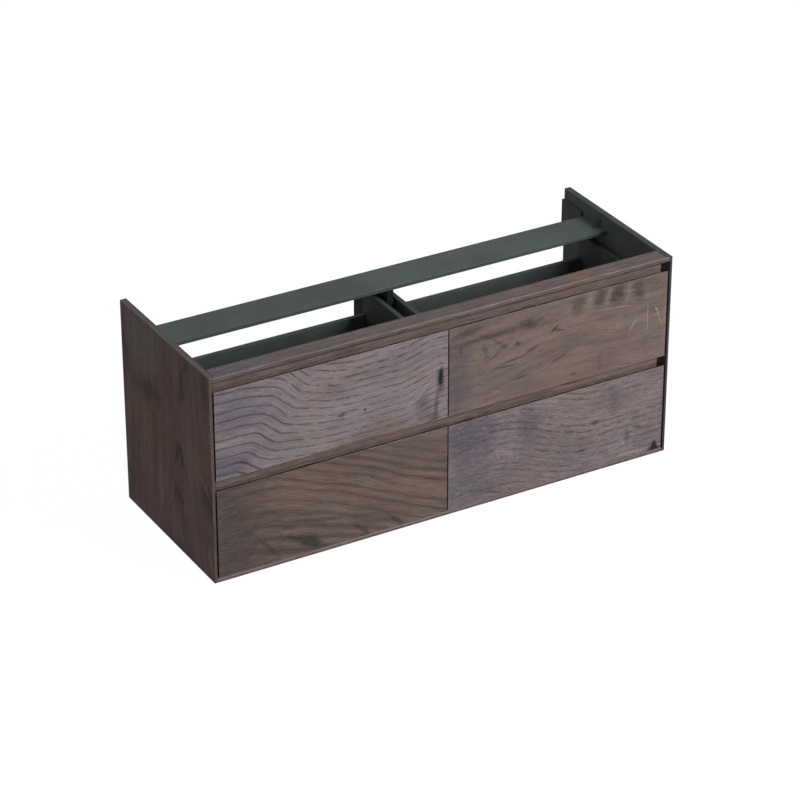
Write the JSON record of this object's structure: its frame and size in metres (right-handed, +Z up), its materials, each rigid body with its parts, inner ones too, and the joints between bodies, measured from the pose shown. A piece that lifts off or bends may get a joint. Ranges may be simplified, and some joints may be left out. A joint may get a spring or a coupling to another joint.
{
  "type": "bathroom vanity cabinet",
  "caption": "Wall-hung vanity base cabinet in smoked oak with mitred edges, open top, handleless full-extension drawers in two rows, rear stretcher and wall hangers.",
  "frame": {"origin": "bottom centre of the carcass's box: middle of the width and of the depth, at the underside", "axes": "+X to the right along the width, +Y towards the wall (the drawer fronts face -Y), +Z up"},
  "size_m": [1.2, 0.438, 0.514],
  "materials": {
    "oak": "smoked oak veneer, matt lacquer",
    "anthracite_board": "anthracite matt lacquered board",
    "anthracite_metal": "anthracite powder coat",
    "zinc": "zinc plated",
    "beech": "raw beech, fluted",
    "grey_plastic": "moulded grey plastic",
    "clear_pad": "soft translucent pad"
  },
  "bodies": {
    "carcass": {"left_side_panel": "oak", "right_side_panel": "oak", "bottom_panel": "oak", "centre_divider": "anthracite_board", "top_front_rail": "oak", "upper_grip_rail": "oak", "middle_grip_rail": "oak", "rear_stretcher": "anthracite_board", "stretcher_brackets": "anthracite_metal", "lower_back_rail": "anthracite_board", "carcass_dowels": "beech", "cam_discs": "zinc", "cam_bolts": "zinc", "bumper_pads": "clear_pad", "left_hanger_housing": "anthracite_metal", "right_hanger_housing": "anthracite_metal", "hanger_adjusting_screws": "zinc", "fixing_screws": "zinc", "upper_left_cabinet_rails": "zinc", "upper_right_cabinet_rails": "zinc", "lower_left_cabinet_rails": "zinc", "lower_right_cabinet_rails": "zinc"},
    "left_hook": {"left_hanger_hook": "zinc"},
    "right_hook": {"right_hanger_hook": "zinc"},
    "upper_left_drawer": {"upper_left_front": "oak", "upper_left_box_left_side": "anthracite_board", "upper_left_box_right_side": "anthracite_board", "upper_left_box_back": "anthracite_board", "upper_left_box_bottom": "anthracite_board", "upper_left_box_dowels": "beech", "upper_left_front_catches": "grey_plastic", "upper_left_drawer_rails": "zinc"},
    "upper_left_runners": {"upper_left_middle_rails": "zinc"},
    "upper_right_drawer": {"upper_right_front": "oak", "upper_right_box_left_side": "anthracite_board", "upper_right_box_right_side": "anthracite_board", "upper_right_box_back": "anthracite_board", "upper_right_box_bottom": "anthracite_board", "upper_right_box_dowels": "beech", "upper_right_front_catches": "grey_plastic", "upper_right_drawer_rails": "zinc"},
    "upper_right_runners": {"upper_right_middle_rails": "zinc"},
    "lower_left_drawer": {"lower_left_front": "oak", "lower_left_box_left_side": "anthracite_board", "lower_left_box_right_side": "anthracite_board", "lower_left_box_back": "anthracite_board", "lower_left_box_bottom": "anthracite_board", "lower_left_box_dowels": "beech", "lower_left_front_catches": "grey_plastic", "lower_left_drawer_rails": "zinc"},
    "lower_left_runners": {"lower_left_middle_rails": "zinc"},
    "lower_right_drawer": {"lower_right_front": "oak", "lower_right_box_left_side": "anthracite_board", "lower_right_box_right_side": "anthracite_board", "lower_right_box_back": "anthracite_board", "lower_right_box_bottom": "anthracite_board", "lower_right_box_dowels": "beech", "lower_right_front_catches": "grey_plastic", "lower_right_drawer_rails": "zinc"},
    "lower_right_runners": {"lower_right_middle_rails": "zinc"}
  },
  "joints": [
    {"name": "upper_left_slide", "type": "slide", "parent": "carcass", "child": "upper_left_drawer", "axis": [0, -1, 0], "range_m": [0, 0.3]},
    {"name": "upper_left_runner_slide", "type": "slide", "parent": "carcass", "child": "upper_left_runners", "axis": [0, -1, 0], "range_m": [0, 0.15]},
    {"name": "upper_right_slide", "type": "slide", "parent": "carcass", "child": "upper_right_drawer", "axis": [0, -1, 0], "range_m": [0, 0.3]},
    {"name": "upper_right_runner_slide", "type": "slide", "parent": "carcass", "child": "upper_right_runners", "axis": [0, -1, 0], "range_m": [0, 0.15]},
    {"name": "lower_left_slide", "type": "slide", "parent": "carcass", "child": "lower_left_drawer", "axis": [0, -1, 0], "range_m": [0, 0.3]},
    {"name": "lower_left_runner_slide", "type": "slide", "parent": "carcass", "child": "lower_left_runners", "axis": [0, -1, 0], "range_m": [0, 0.15]},
    {"name": "lower_right_slide", "type": "slide", "parent": "carcass", "child": "lower_right_drawer", "axis": [0, -1, 0], "range_m": [0, 0.3]},
    {"name": "lower_right_runner_slide", "type": "slide", "parent": "carcass", "child": "lower_right_runners", "axis": [0, -1, 0], "range_m": [0, 0.15]},
    {"name": "left_hook_height", "type": "slide", "parent": "carcass", "child": "left_hook", "axis": [0, 0, 1], "range_m": [-0.005, 0.005]},
    {"name": "right_hook_height", "type": "slide", "parent": "carcass", "child": "right_hook", "axis": [0, 0, 1], "range_m": [-0.005, 0.005]}
  ],
  "couplings": [
    {"joint": "upper_left_runner_slide", "follows": "upper_left_slide", "ratio": 0.5},
    {"joint": "upper_right_runner_slide", "follows": "upper_right_slide", "ratio": 0.5},
    {"joint": "lower_left_runner_slide", "follows": "lower_left_slide", "ratio": 0.5},
    {"joint": "lower_right_runner_slide", "follows": "lower_right_slide", "ratio": 0.5}
  ]
}
